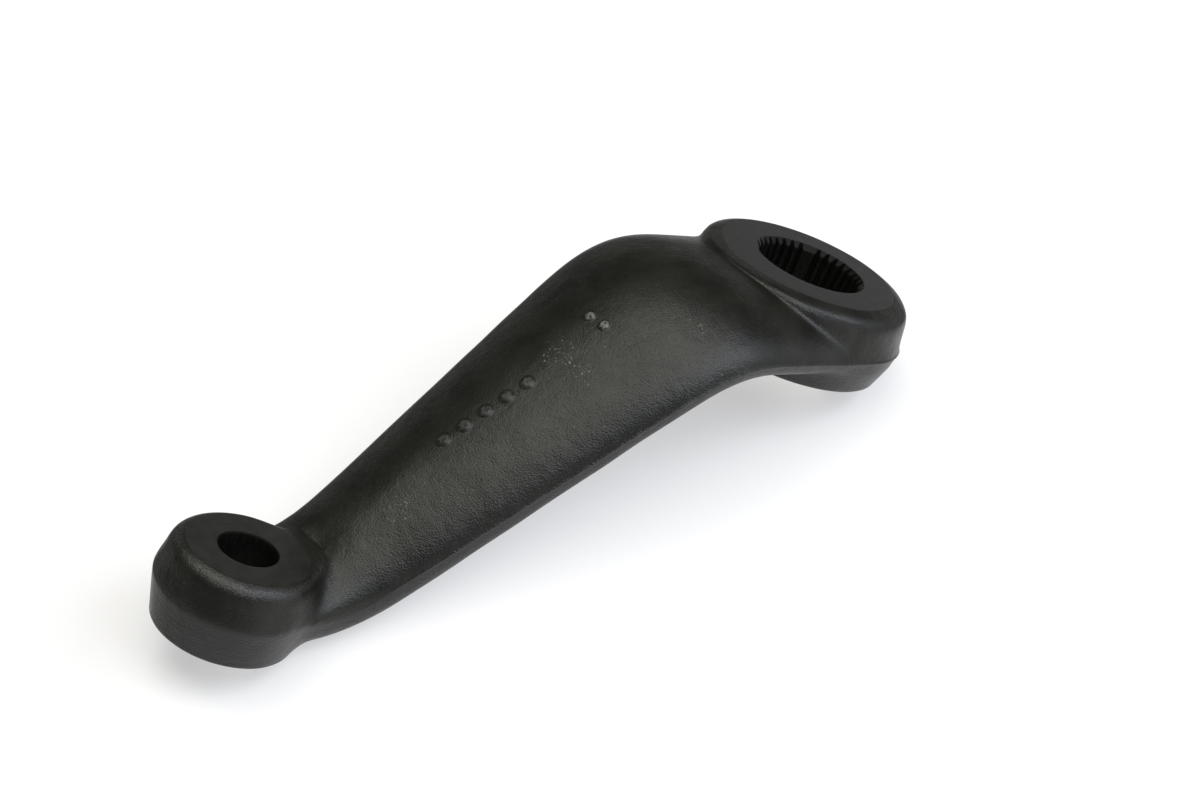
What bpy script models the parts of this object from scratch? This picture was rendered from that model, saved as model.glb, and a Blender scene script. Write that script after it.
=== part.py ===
"""Pitman arm: a drop-forged steering lever, machined from one forging.

The big eye has a tapered, serrated bore for the steering box shaft, and the small
eye a plain tapered bore for a ball stud. A cranked, crowned arm joins them. The
forging is a coarse cage with a subdivision surface, whose crease is the parting
line of the dies. Facing and boring cuts then machine both eyes.

The lever is built with its bores upright, its origin at the centre of the big eye's
top face and the small eye towards -X, and is then laid on its two lower rims.
"""

import math

import bmesh
import bpy
from mathutils import Matrix, Vector

MM = 0.001

# Lever: the small eye lies EYE_SPACING back and EYE_DROP down from the big eye
EYE_SPACING = 155.7 * MM
EYE_DROP = 83.6 * MM

# Big eye, sizes as machined, heights counted down from its top face
BIG_HEIGHT = 23.3 * MM
BIG_FACE_R = 25.5 * MM
BIG_FACE_SHIFT = 0.9 * MM
BIG_WALL_R = 30.6 * MM
BIG_WALL_DROP = 6.5 * MM
BIG_STEP = 0.9 * MM
BIG_PARTING = 12.9 * MM
BIG_PARTING_R = 31.8 * MM
BIG_BAND_R = 31.3 * MM
BIG_BAND_HEIGHT = 3.4 * MM
BIG_BASE_R = 29.0 * MM

# Small eye, in the same order
SMALL_HEIGHT = 22.5 * MM
SMALL_FACE_R = 15.8 * MM
SMALL_WALL_R = 19.4 * MM
SMALL_WALL_DROP = 5.8 * MM
SMALL_STEP = 0.3 * MM
SMALL_PARTING = 10.8 * MM
SMALL_PARTING_R = 20.5 * MM
SMALL_BASE_R = 18.1 * MM

# Rounded edge of each face: shares of the way out from the face to the wall, and down it
BIG_EDGE = [(0.53, 0.14), (0.94, 0.45)]
SMALL_EDGE = [(0.47, 0.14), (0.86, 0.45)]
EDGE_LIFT = [0.2, 0.6]
EDGE_SHIFT = [1.0, 0.5]

# Arm: its parting line runs level out of each eye and bends into one slope between
BIG_BEND_AT = 50.0 * MM
SMALL_BEND_AT = 22.0 * MM
BIG_BEND_R = 27.5 * MM
SMALL_BEND_R = 23.2 * MM
BIG_CROWN = 12.6 * MM
SMALL_CROWN = 9.4 * MM
BIG_BELLY = 6.0 * MM
SMALL_BELLY = 9.7 * MM
NECK_WIDTH = 33.8 * MM
NECK_AT = 18.0 * MM
SHOULDER_WIDTH = 66.1 * MM
SHOULDER_AT = 50.1 * MM
OUTLINE_BLEND = 7.0 * MM
CROWN_POWER = 1.8
BELLY_POWER = 3.6

# Where the arm's surface leaves each eye: angle off the arm, and run beyond the wall
BIG_JOIN_ANGLE = math.radians(90.0)
BIG_JOIN_RUN = 5.4 * MM
BIG_FILLET = 0.5 * MM
SMALL_JOIN_ANGLE = math.radians(62.0)
SMALL_JOIN_RUN = 4.4 * MM
SMALL_FILLET = 1.4 * MM

# Toe of each wall: shares of the way from the wall to the parting line, out and down, and
# share of the run along the arm
BIG_TOE = (0.33, 0.5, 0.22)
SMALL_TOE = (0.64, 0.5, 0.5)
SMALL_TOE_FILLET = 0.3 * SMALL_FILLET

# Lower walls: corner below the big eye's band, as a share of its radius and a drop, and how
# far the first foot of each eye is drawn out towards the arm
BAND_CORNER_SHARE = 0.99
BAND_CORNER_DROP = 1.2 * MM
BIG_FOOT_DRAW = 0.5
SMALL_FOOT_DRAW = 0.4

# Forging stock that the facing cuts take off: its thickness on each face and each base, its
# corner and rim as shares of the face's radius and of that thickness, and its middle as a
# share of the bore's radius
STOCK = 2.0 * MM
BASE_STOCK = 0.4 * MM
STOCK_CROWN = 0.78
STOCK_RIM = 0.15
STOCK_MOUTH = 0.6
CUT_OVERRUN = 4.0 * MM
FACING_MARGIN = 2.4 * MM

# Serrated bore of the big eye: pitches round the bore, some left out as wide lands
BORE_R = 15.9 * MM
SERRATION_PITCHES = 36
SERRATION_DEPTH = 1.35 * MM
SERRATION_FLAT = 0.16
LAND_EVERY = 9
LAND_ANGLE = math.radians(45.0)
BORE_TAPER = math.radians(2.4)
BORE_LEAD_IN = 1.0 * MM

# Ball stud bore of the small eye, smallest at the top
STUD_BORE_R = 7.4 * MM
STUD_TAPER = math.radians(3.6)
STUD_LEAD_IN = 0.45 * MM

# Finish
COATING = (0.024, 0.024, 0.023, 1.0)
COATING_ROUGHNESS = 0.48

# Cage density
SIDE_STEPS = 12
ARM_LOOPS = 14
SUBDIVISIONS = 1
ROUND_STEPS = 64

SMALL_X = -EYE_SPACING
BIG_TOP = 0.0
SMALL_TOP = -EYE_DROP
BIG_PARTING_Z = BIG_TOP - BIG_PARTING
SMALL_PARTING_Z = SMALL_TOP - SMALL_PARTING


def blend_line(x, points, halves):
    """Height at x of a broken line whose inner corners are eased over +-half."""
    slopes = [(b[1] - a[1]) / (b[0] - a[0]) for a, b in zip(points, points[1:])]
    for corner, half, before, after in zip(points[1:], halves, slopes, slopes[1:]):
        along = x - corner[0]
        if along <= -half:
            return corner[1] + before * along
        if along < half:
            return corner[1] + before * along + (after - before) * (along + half) ** 2 / (4 * half)
    return points[-1][1] + slopes[-1] * (x - points[-1][0])


def arm_level(x, small_offset, big_offset):
    """Height of the arm at x on a line set off from its parting line."""
    low = SMALL_X + SMALL_BEND_AT
    high = -BIG_BEND_AT
    turn = math.tan(0.5 * math.atan2(BIG_PARTING_Z - SMALL_PARTING_Z, high - low))
    points = [
        (SMALL_X, SMALL_PARTING_Z + small_offset),
        (low - small_offset * turn, SMALL_PARTING_Z + small_offset),
        (high - big_offset * turn, BIG_PARTING_Z + big_offset),
        (0.0, BIG_PARTING_Z + big_offset),
    ]
    halves = [(SMALL_BEND_R - small_offset) * turn, (BIG_BEND_R + big_offset) * turn]
    return blend_line(x, points, halves)


def arm_half_width(x):
    """Half width of the arm's parting line at x."""
    small_side = SMALL_X + SMALL_PARTING_R * math.cos(SMALL_JOIN_ANGLE)
    points = [
        (small_side, SMALL_PARTING_R * math.sin(SMALL_JOIN_ANGLE)),
        (SMALL_X + NECK_AT, NECK_WIDTH / 2),
        (-SHOULDER_AT, SHOULDER_WIDTH / 2),
        (0.0, BIG_PARTING_R),
    ]
    return blend_line(x, points, [OUTLINE_BLEND, 2 * OUTLINE_BLEND])


def lobe(share, power):
    """Height, from 0 to 1, of a rounded half section at a share of its half width."""
    return max(0.0, 1.0 - min(1.0, abs(share)) ** power) ** (1.0 / power)


def crown_height(x, y):
    """Height of the arm's upper surface."""
    parting = arm_level(x, 0.0, 0.0)
    rise = arm_level(x, SMALL_CROWN, BIG_CROWN) - parting
    return parting + rise * lobe(y / arm_half_width(x), CROWN_POWER)


def belly_height(x, y):
    """Height of the arm's lower surface."""
    parting = arm_level(x, 0.0, 0.0)
    fall = parting - arm_level(x, -SMALL_BELLY, -BIG_BELLY)
    return parting - fall * lobe(y / arm_half_width(x), BELLY_POWER)


def section_point(side_x, crown_x, turn, upper):
    """Point of an arm loop: turn is 1 on the +Y parting line, 0 at the crown, -1 at -Y."""
    angle = turn * math.pi / 2
    x = side_x + (crown_x - side_x) * math.cos(angle)
    power = CROWN_POWER if upper else BELLY_POWER
    height = crown_height if upper else belly_height
    y = arm_half_width(x) * math.copysign(abs(math.sin(angle)) ** (2 / power), angle)
    return Vector((x, y, height(x, y)))


def ring_angles(join_angle, facing):
    """Column angles of an eye, the arm's own columns first, from +Y round to -Y."""
    joined = [join_angle * (1 - 2 * i / SIDE_STEPS) for i in range(SIDE_STEPS + 1)]
    rest = 2 * math.pi - 2 * join_angle
    free = [-join_angle - rest * i / SIDE_STEPS for i in range(1, SIDE_STEPS)]
    return [facing(angle) for angle in joined + free]


def hoop_factor(angles, column):
    """Growth that makes up for the inward pull of the subdivision on a round ring."""
    after = angles[(column + 1) % len(angles)] - angles[column]
    before = angles[column] - angles[column - 1]
    mean = (math.cos(after) + math.cos(before)) / 2
    return 3.0 / (2.0 + mean)


def skin(bm, first, second):
    """Quads between two closed loops of as many vertices."""
    count = len(first)
    for i in range(count):
        j = (i + 1) % count
        bm.faces.new((first[i], first[j], second[j], second[i]))


class Eye:
    """The cage of one eye, and the two open arcs where the arm starts."""

    def __init__(self, bm, size):
        self.bm = bm
        self.size = size
        self.angles = ring_angles(size["join"], size["facing"])

    def is_joined(self, column):
        return 0 < column < SIDE_STEPS

    def foot_height(self, x, y, fillet):
        """Height at which the eye's wall ends on the arm, a step below its face."""
        size = self.size
        return min(crown_height(x, y) + fillet, size["top"] - size["step"])

    def upper_ring(self, radius, drop, lift=0.0, shift=0.0):
        """Ring of cage vertices, lifted over the arm where the arm joins."""
        size = self.size
        middle = size["x"] + shift * math.cos(size["facing"](0.0))
        verts = []
        for column, angle in enumerate(self.angles):
            height = size["top"] - drop
            if lift and self.is_joined(column):
                x = size["x"] + size["wall_r"] * math.cos(angle)
                y = size["wall_r"] * math.sin(angle)
                fall = size["top"] - self.foot_height(x, y, size["fillet"])
                height = max(height, size["top"] - lift * fall)
            grown = radius * hoop_factor(self.angles, column)
            spot = (middle + grown * math.cos(angle), grown * math.sin(angle), height)
            verts.append(self.bm.verts.new(spot))
        return verts

    def edge_rings(self):
        """Rings of the rounded edge between the face and the wall."""
        size = self.size
        width = size["wall_r"] - size["face_r"]
        rings = []
        for (out, down), lift, shift in zip(size["edge"], EDGE_LIFT, EDGE_SHIFT):
            rings.append(self.upper_ring(size["face_r"] + out * width, down * size["wall_drop"],
                                         lift, shift * size["shift"]))
        return rings

    def toe_ring(self):
        """Ring between the wall and the parting line, or the arm where the arm joins."""
        size = self.size
        out, down, along = size["toe"]
        free_r = size["wall_r"] + out * (size["parting_r"] - size["wall_r"])
        drop = size["wall_drop"] + down * (size["parting"] - size["wall_drop"])
        verts = []
        for column, angle in enumerate(self.angles):
            joined = self.is_joined(column)
            grown = free_r * hoop_factor(self.angles, column)
            if joined:
                grown = size["wall_r"] + along * size["run"]
            x = size["x"] + grown * math.cos(angle)
            y = grown * math.sin(angle)
            height = size["top"] - drop
            if joined:
                height = self.foot_height(x, y, size["toe_fillet"])
            verts.append(self.bm.verts.new((x, y, height)))
        return verts

    def foot_ring(self, radius, drop, draw):
        """Ring on the lower wall, which runs on the arm's belly where the arm joins."""
        verts = []
        size = self.size
        for column, angle in enumerate(self.angles):
            grown = radius * hoop_factor(self.angles, column)
            spot = Vector((size["x"] + grown * math.cos(angle), grown * math.sin(angle), 0.0))
            height = size["top"] - drop
            if self.is_joined(column):
                arc = self.arc_point(column, False)
                spot = spot.lerp(arc, draw)
                height = belly_height(spot.x, spot.y)
            verts.append(self.bm.verts.new((spot.x, spot.y, height)))
        return verts

    def arc_point(self, column, upper):
        """Point where the arm's surface starts, on the crown or on the belly."""
        size = self.size
        turn = 1 - 2 * column / SIDE_STEPS
        side_x = size["x"] + size["parting_r"] * math.cos(self.angles[0])
        reach = size["wall_r"] + size["run"]
        crown_x = size["x"] + reach * math.cos(size["facing"](0.0))
        return section_point(side_x, crown_x, turn, upper)

    def parting_ring(self, shared=None):
        """Parting line on the free side and, where the arm joins, its starting arc."""
        size = self.size
        verts = []
        for column, angle in enumerate(self.angles):
            if self.is_joined(column):
                verts.append(self.bm.verts.new(self.arc_point(column, shared is None)))
            elif shared is not None:
                verts.append(shared[column])
            else:
                grown = size["parting_r"]
                if column > SIDE_STEPS:
                    grown *= hoop_factor(self.angles, column)
                x = size["x"] + grown * math.cos(angle)
                height = size["top"] - size["parting"]
                verts.append(self.bm.verts.new((x, grown * math.sin(angle), height)))
        return verts


def crease_run(bm, crease, verts):
    """Keep the edges along a run of vertices sharp in the subdivision."""
    for first, second in zip(verts, verts[1:]):
        bm.edges.get((first, second))[crease] = 1.0


def build_eye(bm, crease, size):
    """Skin one eye from its top to its base, and return the loop where the arm starts."""
    eye = Eye(bm, size)
    upper = [eye.upper_ring(size["bore_r"] * STOCK_MOUTH, -STOCK)]
    upper.append(eye.upper_ring(size["face_r"] * STOCK_CROWN, -STOCK, shift=size["shift"]))
    upper.append(eye.upper_ring(size["face_r"], -STOCK * STOCK_RIM, shift=size["shift"]))
    upper += eye.edge_rings()
    upper.append(eye.upper_ring(size["wall_r"], size["wall_drop"], lift=1.0))
    parting = eye.parting_ring()
    upper += [eye.toe_ring(), parting]
    lower = [eye.parting_ring(shared=parting)]
    lower += [eye.foot_ring(*foot) for foot in size["feet"]]
    stock_drop = size["height"] + BASE_STOCK
    stock_base = eye.upper_ring(size["stock_base_r"], stock_drop)
    lower += [stock_base, eye.upper_ring(size["bore_r"] * STOCK_MOUTH, stock_drop)]
    for rings in (upper, lower):
        for first, second in zip(rings, rings[1:]):
            skin(bm, first, second)
    bm.faces.new(upper[0])
    bm.faces.new(lower[-1])
    crease_run(bm, crease, parting[SIDE_STEPS:] + parting[:1])
    crease_run(bm, crease, stock_base + stock_base[:1])
    belly = lower[0][1:SIDE_STEPS]
    return parting[: SIDE_STEPS + 1] + belly[::-1]


def base_taper_radius(parting_r, base_r, wall_height, stock):
    """Radius at which a drafted wall meets the end of the stock below the base."""
    return base_r - (parting_r - base_r) / wall_height * stock


def big_eye_size():
    band_drop = BIG_PARTING + BIG_BAND_HEIGHT
    return {
        "x": 0.0,
        "top": BIG_TOP,
        "height": BIG_HEIGHT,
        "bore_r": BORE_R,
        "face_r": BIG_FACE_R,
        "shift": BIG_FACE_SHIFT,
        "edge": BIG_EDGE,
        "wall_r": BIG_WALL_R,
        "wall_drop": BIG_WALL_DROP,
        "toe": BIG_TOE,
        "parting": BIG_PARTING,
        "parting_r": BIG_PARTING_R,
        "join": BIG_JOIN_ANGLE,
        "run": BIG_JOIN_RUN,
        "facing": lambda angle: math.pi - angle,
        "step": BIG_STEP,
        "fillet": BIG_FILLET,
        "toe_fillet": 0.0,
        "feet": [
            (BIG_BAND_R, band_drop, BIG_FOOT_DRAW),
            (BIG_BAND_R * BAND_CORNER_SHARE, band_drop + BAND_CORNER_DROP, 0.0),
        ],
        "stock_base_r": base_taper_radius(BIG_BAND_R, BIG_BASE_R, BIG_HEIGHT - band_drop, BASE_STOCK),
    }


def small_eye_size():
    lower_wall = SMALL_HEIGHT - SMALL_PARTING
    middle_r = (SMALL_PARTING_R + SMALL_BASE_R) / 2
    return {
        "x": SMALL_X,
        "top": SMALL_TOP,
        "height": SMALL_HEIGHT,
        "bore_r": STUD_BORE_R,
        "face_r": SMALL_FACE_R,
        "shift": 0.0,
        "edge": SMALL_EDGE,
        "wall_r": SMALL_WALL_R,
        "wall_drop": SMALL_WALL_DROP,
        "toe": SMALL_TOE,
        "parting": SMALL_PARTING,
        "parting_r": SMALL_PARTING_R,
        "join": SMALL_JOIN_ANGLE,
        "run": SMALL_JOIN_RUN,
        "facing": lambda angle: angle,
        "step": SMALL_STEP,
        "fillet": SMALL_FILLET,
        "toe_fillet": SMALL_TOE_FILLET,
        "feet": [(middle_r, SMALL_PARTING + lower_wall / 2, SMALL_FOOT_DRAW)],
        "stock_base_r": base_taper_radius(SMALL_PARTING_R, SMALL_BASE_R, lower_wall, BASE_STOCK),
    }


def arm_loop(bm, share):
    """Closed loop of the arm at a share of the way from the small eye to the big one."""
    small_side = SMALL_X + SMALL_PARTING_R * math.cos(SMALL_JOIN_ANGLE)
    side_x = small_side * (1 - share)
    small_crown = SMALL_X + SMALL_WALL_R + SMALL_JOIN_RUN
    big_crown = -BIG_WALL_R - BIG_JOIN_RUN
    crown_x = small_crown + share * (big_crown - small_crown)
    verts = []
    for step in range(2 * SIDE_STEPS):
        upper = step <= SIDE_STEPS
        turn = 1 - 2 * step / SIDE_STEPS
        if not upper:
            turn = -1 + 2 * (step - SIDE_STEPS) / SIDE_STEPS
        verts.append(bm.verts.new(section_point(side_x, crown_x, turn, upper)))
    return verts


def forging_mesh():
    """Coarse cage of the whole forging."""
    bm = bmesh.new()
    crease = bm.edges.layers.float.new("crease_edge")
    loops = [build_eye(bm, crease, small_eye_size())]
    for index in range(1, ARM_LOOPS + 1):
        loops.append(arm_loop(bm, index / (ARM_LOOPS + 1)))
    loops.append(build_eye(bm, crease, big_eye_size()))
    for first, second in zip(loops, loops[1:]):
        skin(bm, first, second)
    for side in (0, SIDE_STEPS):
        crease_run(bm, crease, [loop[side] for loop in loops])
    bmesh.ops.recalc_face_normals(bm, faces=bm.faces)
    mesh = bpy.data.meshes.new("pitman_arm")
    bm.to_mesh(mesh)
    bm.free()
    return mesh


def new_object(name, mesh, collection):
    obj = bpy.data.objects.new(name, mesh)
    collection.objects.link(obj)
    return obj


def cone_mesh(name, centre, low, high):
    """Closed round cutter between two (radius, height) ends on an upright axis."""
    bm = bmesh.new()
    bmesh.ops.create_cone(bm, cap_ends=True, segments=ROUND_STEPS, radius1=low[0], radius2=high[0],
                          depth=high[1] - low[1])
    middle = (low[1] + high[1]) / 2
    bmesh.ops.translate(bm, verts=bm.verts, vec=(centre, 0.0, middle))
    mesh = bpy.data.meshes.new(name)
    bm.to_mesh(mesh)
    bm.free()
    return mesh


def serration_radii(root_r):
    """Radius and angle of each corner round the serrated bore, four to a pitch."""
    tip_r = root_r - SERRATION_DEPTH
    pitch = 2 * math.pi / SERRATION_PITCHES
    corners = []
    for index in range(SERRATION_PITCHES):
        start = LAND_ANGLE + (index - 0.5) * pitch
        groove_r = tip_r if index % LAND_EVERY == 0 else root_r
        corners.append((tip_r, start - SERRATION_FLAT * pitch))
        corners.append((tip_r, start + SERRATION_FLAT * pitch))
        corners.append((groove_r, start + (0.5 - SERRATION_FLAT / 2) * pitch))
        corners.append((groove_r, start + (0.5 + SERRATION_FLAT / 2) * pitch))
    return corners


def serration_mesh():
    """Tapered cutter of the serrated bore, lofted between two like sections."""
    bm = bmesh.new()
    ends = []
    for height in (BIG_TOP + CUT_OVERRUN, BIG_TOP - BIG_HEIGHT - CUT_OVERRUN):
        root_r = BORE_R + (height - BIG_TOP) * math.tan(BORE_TAPER)
        corners = serration_radii(root_r)
        ends.append([bm.verts.new((r * math.cos(a), r * math.sin(a), height)) for r, a in corners])
    skin(bm, ends[0], ends[1])
    for end in ends:
        bm.faces.new(end)
    bmesh.ops.recalc_face_normals(bm, faces=bm.faces)
    mesh = bpy.data.meshes.new("serrated_bore_cut")
    bm.to_mesh(mesh)
    bm.free()
    return mesh


def lead_in_mesh(name, centre, top, bore_r, depth):
    """Cutter for the 45 degree lead-in at the mouth of a bore."""
    return cone_mesh(name, centre, (bore_r - depth, top - depth), (bore_r + CUT_OVERRUN, top + CUT_OVERRUN))


def cutter_meshes():
    """All machining cuts: the four eye faces, the two bores and their lead-ins."""
    big_base = BIG_TOP - BIG_HEIGHT
    small_base = SMALL_TOP - SMALL_HEIGHT
    above = STOCK + CUT_OVERRUN
    big_top_r = BIG_FACE_R + FACING_MARGIN
    small_top_r = SMALL_FACE_R + FACING_MARGIN
    big_base_r = BIG_BASE_R + FACING_MARGIN
    small_base_r = SMALL_BASE_R + FACING_MARGIN
    stud_low_r = STUD_BORE_R + (SMALL_HEIGHT + above) * math.tan(STUD_TAPER)
    stud_high_r = STUD_BORE_R - above * math.tan(STUD_TAPER)
    return [
        cone_mesh("big_top_face", 0.0, (big_top_r, BIG_TOP), (big_top_r, BIG_TOP + above)),
        cone_mesh("big_base_face", 0.0, (big_base_r, big_base - above), (big_base_r, big_base)),
        cone_mesh("small_top_face", SMALL_X, (small_top_r, SMALL_TOP), (small_top_r, SMALL_TOP + above)),
        cone_mesh("small_base_face", SMALL_X, (small_base_r, small_base - above), (small_base_r, small_base)),
        serration_mesh(),
        lead_in_mesh("serration_lead_in", 0.0, BIG_TOP, BORE_R, SERRATION_DEPTH + BORE_LEAD_IN),
        cone_mesh("stud_bore_cut", SMALL_X, (stud_low_r, small_base - above), (stud_high_r, SMALL_TOP + above)),
        lead_in_mesh("stud_lead_in", SMALL_X, SMALL_TOP, STUD_BORE_R + STUD_LEAD_IN, 2 * STUD_LEAD_IN),
    ]


def steel_material():
    """Black satin coating over shot-blasted forged steel."""
    material = bpy.data.materials.new("forged_steel")
    material.use_nodes = True
    shader = material.node_tree.nodes["Principled BSDF"]
    shader.inputs["Base Color"].default_value = COATING
    shader.inputs["Roughness"].default_value = COATING_ROUGHNESS
    shader.inputs["Metallic"].default_value = 0.0
    return material


def rest_tilt():
    """Lean of the bores when both eyes stand on the +X side of their lower rims."""
    reach = BIG_BASE_R - (SMALL_X + SMALL_BASE_R)
    rise = (BIG_TOP - BIG_HEIGHT) - (SMALL_TOP - SMALL_HEIGHT)
    return math.atan2(rise, reach)


def settle(obj):
    """Lay the lever down and put the middle of its footprint at the origin."""
    obj.rotation_euler = (0.0, rest_tilt(), 0.0)
    bpy.context.view_layer.update()
    evaluated = obj.evaluated_get(bpy.context.evaluated_depsgraph_get())
    spots = [evaluated.matrix_world @ vertex.co for vertex in evaluated.data.vertices]
    lows = [min(spot[axis] for spot in spots) for axis in range(3)]
    highs = [max(spot[axis] for spot in spots) for axis in range(3)]
    middle = Vector(((lows[0] + highs[0]) / 2, (lows[1] + highs[1]) / 2, lows[2]))
    obj.matrix_world = Matrix.Translation(-middle) @ obj.matrix_world


def build():
    for obj in list(bpy.data.objects):
        bpy.data.objects.remove(obj, do_unlink=True)
    parts = bpy.data.collections.new("Pitman arm")
    cutters = bpy.data.collections.new("Cutters")
    for collection in (parts, cutters):
        bpy.context.scene.collection.children.link(collection)
    arm = new_object("pitman_arm", forging_mesh(), parts)
    arm.data.materials.append(steel_material())
    smooth = arm.modifiers.new("forging", "SUBSURF")
    smooth.levels = SUBDIVISIONS
    smooth.render_levels = SUBDIVISIONS
    for mesh in cutter_meshes():
        cutter = new_object(mesh.name, mesh, cutters)
        cutter.parent = arm
        cutter.hide_render = True
        cutter.display_type = "WIRE"
        cut = arm.modifiers.new(mesh.name, "BOOLEAN")
        cut.operation = "DIFFERENCE"
        cut.solver = "EXACT"
        cut.object = cutter
    settle(arm)


build()
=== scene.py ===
"""Looks of the pitman arm: the forging's fine surface, its serrations, finish, light and camera.

The arm's surface is a creased cage with a subdivision surface, worked out from the same
driving sizes as the solid that it stands for. Sizes are in millimetres until the mesh is
laid down, and the row frame is in metres.
"""

import math

import bmesh
import bpy
from mathutils import Matrix, Vector, noise


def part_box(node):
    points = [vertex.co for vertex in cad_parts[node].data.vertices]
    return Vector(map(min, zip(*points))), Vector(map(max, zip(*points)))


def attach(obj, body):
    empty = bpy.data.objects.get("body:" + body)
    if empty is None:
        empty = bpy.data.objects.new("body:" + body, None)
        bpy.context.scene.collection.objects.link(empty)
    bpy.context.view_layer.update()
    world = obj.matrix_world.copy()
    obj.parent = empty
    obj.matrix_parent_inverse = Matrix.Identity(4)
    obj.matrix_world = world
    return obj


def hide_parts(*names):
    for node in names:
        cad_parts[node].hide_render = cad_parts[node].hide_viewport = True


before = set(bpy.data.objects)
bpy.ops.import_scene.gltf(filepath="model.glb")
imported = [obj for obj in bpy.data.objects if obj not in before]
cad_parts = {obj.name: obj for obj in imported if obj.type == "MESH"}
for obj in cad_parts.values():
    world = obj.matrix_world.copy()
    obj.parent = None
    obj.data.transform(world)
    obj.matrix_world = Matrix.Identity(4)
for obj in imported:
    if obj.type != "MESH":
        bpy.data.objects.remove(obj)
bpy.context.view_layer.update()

MM = 0.001

# How near to a level a point counts as lying on it, in millimetres
LEVEL_TOLERANCE = 0.01

# Lever, with upright bores and its origin at the centre of the big eye's top face
EYE_SPACING = 155.7
EYE_DROP = 83.6
SMALL_X = -EYE_SPACING

# Big eye, sizes as machined, heights counted down from its top face
BIG_HEIGHT = 23.3
BIG_PARTING = 12.9
BIG_PARTING_R = 31.8
BIG_BASE_R = 29.0
BIG_FACE_R = 25.5
BIG_FACE_SHIFT = 0.9
BIG_WALL_R = 30.6
BIG_WALL_DROP = 6.5
BIG_STEP = 0.9
BIG_BAND_R = 31.3
BIG_BAND_HEIGHT = 3.4
BIG_BAND_EDGE = 1.2
BIG_BAND_DRAFT = 0.99
BIG_PARTING_SHARPNESS = 1.0

# Small eye, in the same order
SMALL_HEIGHT = 22.5
SMALL_PARTING = 10.8
SMALL_PARTING_R = 20.5
SMALL_BASE_R = 18.1
SMALL_FACE_R = 15.8
SMALL_WALL_R = 19.4
SMALL_WALL_DROP = 5.8
SMALL_STEP = 0.3
SMALL_PARTING_SHARPNESS = 0.4

# Arm: its parting line runs level out of each eye and bends into one slope between
BIG_BEND_AT = 50.0
SMALL_BEND_AT = 22.0
BIG_BEND_R = 27.5
SMALL_BEND_R = 23.2
BIG_CROWN = 12.6
SMALL_CROWN = 9.4
BIG_BELLY = 6.0
SMALL_BELLY = 9.7
NECK_WIDTH = 33.8
NECK_AT = 18.0
SHOULDER_WIDTH = 66.1
SHOULDER_AT = 50.1
OUTLINE_BLEND = 7.0
CROWN_POWER = 1.8
BELLY_POWER = 3.6
BIG_JOIN_ANGLE = math.radians(90.0)
BIG_JOIN_RUN = 5.4
BIG_FILLET = 0.5
SMALL_JOIN_ANGLE = math.radians(62.0)
SMALL_JOIN_RUN = 4.4
SMALL_FILLET = 1.4
SMALL_TOE_FILLET = 0.3 * SMALL_FILLET
BIG_ROOT_BELLY = 0.5
SMALL_ROOT_BELLY = 0.4

# Bores
BORE_R = 15.9
SERRATION_PITCHES = 36
SERRATION_DEPTH = 1.35
GROOVE_ROOT = 0.07
GROOVE_MOUTH = 0.36
LAND_EVERY = 9
LAND_ANGLE = math.radians(45.0)
BORE_TAPER = math.radians(2.4)
BORE_LEAD_IN = 1.0
STEPS_A_PITCH = 16
LEAD_IN_ROWS = 6
BORE_ROWS = 12
STUD_BORE_R = 7.4
STUD_TAPER = math.radians(3.6)
STUD_LEAD_IN = 0.45
STUD_LEAD_IN_CURVE = [(1.0, 0.0), (0.5, 0.6), (0.2, 1.4)]
STUD_STEPS = 96
STUD_ROWS = 8

# Forged skin: ridge of the trimmed flash, unevenness, raised pips, and places of chips on the arm
FLASH = 0.2
FLASH_ANGLE = math.radians(12.0)
FLASH_REACH = 0.4
FLASH_FROM = 24.0
FLASH_TO = 44.0
WAVE_LENGTH = 13.0
WAVE_HEIGHT = 0.14
PIP_ROW = ((-107.2, 0.2), (-89.4, -2.5))
PIP_COUNT = 5
PIP_R = 1.8
PIP_HEIGHT = 0.6
# Share of bare steel on the row's pip tops: partly wear, partly a painted glint
PIP_WEAR_AND_GLINT = 0.15
SMALL_PIPS = [(-72.8, 1.7), (-72.3, -3.5)]
SMALL_PIP_R = 1.4
SMALL_PIP_HEIGHT = 0.55
# Share of bare steel on the small pips' tops: partly wear, partly a painted glint
SMALL_PIP_WEAR_AND_GLINT = 0.7
CHIPPED = [(-81.5, -1.5, 5.0), (-80.7, -10.0, 3.5), (-57.0, -19.0, 2.5), (-121.0, -6.8, 4.0)]

# Form of a pip, and the reach of its wear and painted glint, in shares of its radius
PIP_FOOT = 1.3
PIP_TOP = 0.6
PIP_WORN_TO = 1.15
PIP_WEAR_FADE = 0.3

# Mesh under a pip: how far outside its foot it is refined, and cuts of each edge
PIP_MARGIN = 0.6
PIP_CUTS = 5

# Hollows where the arm grows out of its eyes: radii between which each is eased, how often,
# and how far above the parting line and along the arm that starts
SMALL_ROOT_FROM = 16.6
SMALL_ROOT_TO = [38.0, 34.0, 30.0, 26.0, 22.0]
SMALL_ROOT_PASSES = 16
BIG_ROOT_FROM = 29.8
BIG_ROOT_TO = [36.0, 33.5]
BIG_ROOT_PASSES = 12
ROOT_ABOVE = 0.5
ROOT_START = 6.0

# Worn edge of the small eye's top face: its depth below the face, and the radii that it keeps between
WORN_DEPTH = 0.9
WORN_REACH = 0.9
WORN_START = 0.02
WORN_FROM = SMALL_FACE_R - 1.0
WORN_TO = SMALL_WALL_R + 0.5

# What the finishes read from the mesh: how far the skin faces upwards, and its depth below the parting
UPWARD_FROM = -0.1
UPWARD_SPAN = 0.4
LOWER_SPAN = 0.6

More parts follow.
